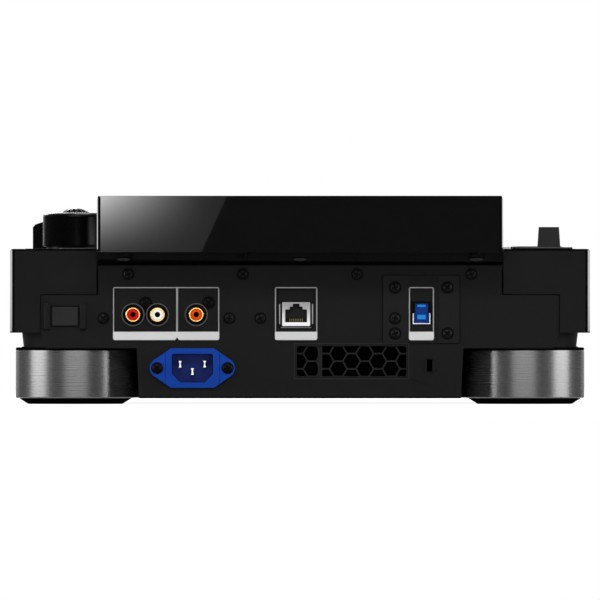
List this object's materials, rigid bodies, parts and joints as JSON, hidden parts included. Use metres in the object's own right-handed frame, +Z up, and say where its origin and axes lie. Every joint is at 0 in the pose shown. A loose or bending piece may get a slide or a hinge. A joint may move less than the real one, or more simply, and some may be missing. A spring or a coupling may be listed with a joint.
{
  "type": "tabletop dj player",
  "caption": "Tabletop DJ deck with a jog wheel, tilted touch screen housing, hot cue pads, tempo slider and rear sockets on round metal feet.",
  "frame": {"origin": "on the table, under the middle of the whole deck with its screen overhang", "axes": "+X to the user's right, +Y from the user towards the rear sockets, +Z up"},
  "size_m": [0.329, 0.453, 0.118],
  "materials": {
    "black_plastic": "satin black moulding",
    "gloss_black": "polished black",
    "black_steel": "black powder coat",
    "dark_plastic": "fine grained",
    "foot_metal": "dark turned metal",
    "rubber": "matt",
    "silver_metal": "bright plated",
    "jog_metal": "dark turned plate",
    "screen_glass": "polished, opaque black",
    "pad_grey": "soft touch",
    "grey_key": "light grey",
    "blue_plastic": "satin blue",
    "gold_shell": "gold plated",
    "board_green": "lacquered board"
  },
  "bodies": {
    "deck": {"top_case": "black_plastic", "bottom_chassis": "black_steel", "rear_panel": "black_steel", "screen_housing": "gloss_black", "screen_glass": "screen_glass", "display_panel": "dark_plastic", "foot_ring_rear_left": "foot_metal", "foot_pad_rear_left": "rubber", "foot_ring_rear_right": "foot_metal", "foot_pad_rear_right": "rubber", "foot_ring_front_left": "foot_metal", "foot_pad_front_left": "rubber", "foot_ring_front_right": "foot_metal", "foot_pad_front_right": "rubber", "jog_bearing_post": "silver_metal", "jog_display": "screen_glass", "selector_encoder": "silver_metal", "tempo_slider_body": "silver_metal", "media_module": "dark_plastic", "audio_sockets": "gold_shell", "digital_socket": "gold_shell", "mains_inlet": "blue_plastic", "network_socket": "silver_metal", "computer_socket": "blue_plastic", "usb_plate": "black_steel", "vent_grille": "dark_plastic", "main_board": "board_green", "power_supply_board": "board_green"},
    "jog_wheel": {"jog_platter": "jog_metal", "jog_ring": "black_plastic"},
    "selector_stem": {"selector_shaft": "silver_metal"},
    "selector": {"selector_knob": "black_plastic"},
    "tempo_slider": {"tempo_slider_knob": "black_plastic"},
    "direction_lever": {"direction_lever": "dark_plastic"},
    "jog_adjust": {"jog_adjust_knob": "black_plastic"},
    "vinyl_speed": {"vinyl_speed_knob": "black_plastic"},
    "power_button": {"power_button": "dark_plastic"},
    "memory_card_door": {"memory_card_door": "black_plastic"},
    "hot_cue_a": {"hot_cue_a": "pad_grey"},
    "hot_cue_b": {"hot_cue_b": "pad_grey"},
    "hot_cue_c": {"hot_cue_c": "pad_grey"},
    "hot_cue_d": {"hot_cue_d": "pad_grey"},
    "hot_cue_e": {"hot_cue_e": "pad_grey"},
    "hot_cue_f": {"hot_cue_f": "pad_grey"},
    "hot_cue_g": {"hot_cue_g": "pad_grey"},
    "hot_cue_h": {"hot_cue_h": "pad_grey"},
    "loop_in_key": {"loop_in_key": "grey_key"},
    "loop_out_key": {"loop_out_key": "grey_key"},
    "reloop_key": {"reloop_key": "grey_key"},
    "track_back_key": {"track_back_key": "dark_plastic"},
    "track_forward_key": {"track_forward_key": "dark_plastic"},
    "search_back_key": {"search_back_key": "dark_plastic"},
    "search_forward_key": {"search_forward_key": "dark_plastic"},
    "beat_sync_key": {"beat_sync_key": "dark_plastic"},
    "master_key": {"master_key": "dark_plastic"},
    "master_tempo_key": {"master_tempo_key": "dark_plastic"},
    "back_key": {"back_key": "dark_plastic"},
    "tag_key": {"tag_key": "dark_plastic"},
    "play_button": {"play_button": "black_plastic"},
    "cue_button": {"cue_button": "black_plastic"}
  },
  "joints": [
    {"name": "jog_turn", "type": "hinge", "parent": "deck", "child": "jog_wheel", "pos_m": [0, -0.08802, 0.0879], "axis": [0, 0, 1], "continuous": true},
    {"name": "selector_turn", "type": "hinge", "parent": "deck", "child": "selector_stem", "pos_m": [0.129, 0.06184, 0.0879], "axis": [0, 0, 1], "continuous": true},
    {"name": "selector_push", "type": "slide", "parent": "selector_stem", "child": "selector", "axis": [0, 0, -1], "range_m": [0, 0.0006], "stiffness_N_per_m": 1500, "springref_m": -0.001},
    {"name": "tempo_slide", "type": "slide", "parent": "deck", "child": "tempo_slider", "axis": [0, 1, 0], "range_m": [-0.05, 0.05]},
    {"name": "direction_swing", "type": "hinge", "parent": "deck", "child": "direction_lever", "pos_m": [-0.1425, 0.02993, 0.0789], "axis": [1, 0, 0], "range_deg": [-12, 12]},
    {"name": "jog_adjust_turn", "type": "hinge", "parent": "deck", "child": "jog_adjust", "pos_m": [0.129, 0.0279, 0.0879], "axis": [0, 0, 1], "range_deg": [-140, 140]},
    {"name": "vinyl_speed_turn", "type": "hinge", "parent": "deck", "child": "vinyl_speed", "pos_m": [0.129, 0.00192, 0.0879], "axis": [0, 0, 1], "range_deg": [-140, 140]},
    {"name": "power_press", "type": "slide", "parent": "deck", "child": "power_button", "axis": [0, -1, 0], "range_m": [0, 0.0015], "stiffness_N_per_m": 900, "springref_m": -0.0006},
    {"name": "card_door_swing", "type": "hinge", "parent": "deck", "child": "memory_card_door", "pos_m": [-0.1379, 0.15066, 0.0883], "axis": [-1, 0, 0], "range_deg": [0, 95]},
    {"name": "hot_cue_a_press", "type": "slide", "parent": "deck", "child": "hot_cue_a", "axis": [0, 0, -1], "range_m": [0, 0.0008], "stiffness_N_per_m": 900, "springref_m": -0.0005},
    {"name": "hot_cue_b_press", "type": "slide", "parent": "deck", "child": "hot_cue_b", "axis": [0, 0, -1], "range_m": [0, 0.0008], "stiffness_N_per_m": 900, "springref_m": -0.0005},
    {"name": "hot_cue_c_press", "type": "slide", "parent": "deck", "child": "hot_cue_c", "axis": [0, 0, -1], "range_m": [0, 0.0008], "stiffness_N_per_m": 900, "springref_m": -0.0005},
    {"name": "hot_cue_d_press", "type": "slide", "parent": "deck", "child": "hot_cue_d", "axis": [0, 0, -1], "range_m": [0, 0.0008], "stiffness_N_per_m": 900, "springref_m": -0.0005},
    {"name": "hot_cue_e_press", "type": "slide", "parent": "deck", "child": "hot_cue_e", "axis": [0, 0, -1], "range_m": [0, 0.0008], "stiffness_N_per_m": 900, "springref_m": -0.0005},
    {"name": "hot_cue_f_press", "type": "slide", "parent": "deck", "child": "hot_cue_f", "axis": [0, 0, -1], "range_m": [0, 0.0008], "stiffness_N_per_m": 900, "springref_m": -0.0005},
    {"name": "hot_cue_g_press", "type": "slide", "parent": "deck", "child": "hot_cue_g", "axis": [0, 0, -1], "range_m": [0, 0.0008], "stiffness_N_per_m": 900, "springref_m": -0.0005},
    {"name": "hot_cue_h_press", "type": "slide", "parent": "deck", "child": "hot_cue_h", "axis": [0, 0, -1], "range_m": [0, 0.0008], "stiffness_N_per_m": 900, "springref_m": -0.0005},
    {"name": "loop_in_press", "type": "slide", "parent": "deck", "child": "loop_in_key", "axis": [0, 0, -1], "range_m": [0, 0.0008], "stiffness_N_per_m": 900, "springref_m": -0.0005},
    {"name": "loop_out_press", "type": "slide", "parent": "deck", "child": "loop_out_key", "axis": [0, 0, -1], "range_m": [0, 0.0008], "stiffness_N_per_m": 900, "springref_m": -0.0005},
    {"name": "reloop_press", "type": "slide", "parent": "deck", "child": "reloop_key", "axis": [0, 0, -1], "range_m": [0, 0.0008], "stiffness_N_per_m": 900, "springref_m": -0.0005},
    {"name": "track_back_press", "type": "slide", "parent": "deck", "child": "track_back_key", "axis": [0, 0, -1], "range_m": [0, 0.0008], "stiffness_N_per_m": 900, "springref_m": -0.0005},
    {"name": "track_forward_press", "type": "slide", "parent": "deck", "child": "track_forward_key", "axis": [0, 0, -1], "range_m": [0, 0.0008], "stiffness_N_per_m": 900, "springref_m": -0.0005},
    {"name": "search_back_press", "type": "slide", "parent": "deck", "child": "search_back_key", "axis": [0, 0, -1], "range_m": [0, 0.0008], "stiffness_N_per_m": 900, "springref_m": -0.0005},
    {"name": "search_forward_press", "type": "slide", "parent": "deck", "child": "search_forward_key", "axis": [0, 0, -1], "range_m": [0, 0.0008], "stiffness_N_per_m": 900, "springref_m": -0.0005},
    {"name": "beat_sync_press", "type": "slide", "parent": "deck", "child": "beat_sync_key", "axis": [0, 0, -1], "range_m": [0, 0.0008], "stiffness_N_per_m": 900, "springref_m": -0.0005},
    {"name": "master_press", "type": "slide", "parent": "deck", "child": "master_key", "axis": [0, 0, -1], "range_m": [0, 0.0008], "stiffness_N_per_m": 900, "springref_m": -0.0005},
    {"name": "master_tempo_press", "type": "slide", "parent": "deck", "child": "master_tempo_key", "axis": [0, 0, -1], "range_m": [0, 0.0008], "stiffness_N_per_m": 900, "springref_m": -0.0005},
    {"name": "back_press", "type": "slide", "parent": "deck", "child": "back_key", "axis": [0, 0, -1], "range_m": [0, 0.0008], "stiffness_N_per_m": 900, "springref_m": -0.0005},
    {"name": "tag_press", "type": "slide", "parent": "deck", "child": "tag_key", "axis": [0, 0, -1], "range_m": [0, 0.0008], "stiffness_N_per_m": 900, "springref_m": -0.0005},
    {"name": "play_press", "type": "slide", "parent": "deck", "child": "play_button", "axis": [0, 0, -1], "range_m": [0, 0.0008], "stiffness_N_per_m": 900, "springref_m": -0.0005},
    {"name": "cue_press", "type": "slide", "parent": "deck", "child": "cue_button", "axis": [0, 0, -1], "range_m": [0, 0.0008], "stiffness_N_per_m": 900, "springref_m": -0.0005}
  ]
}
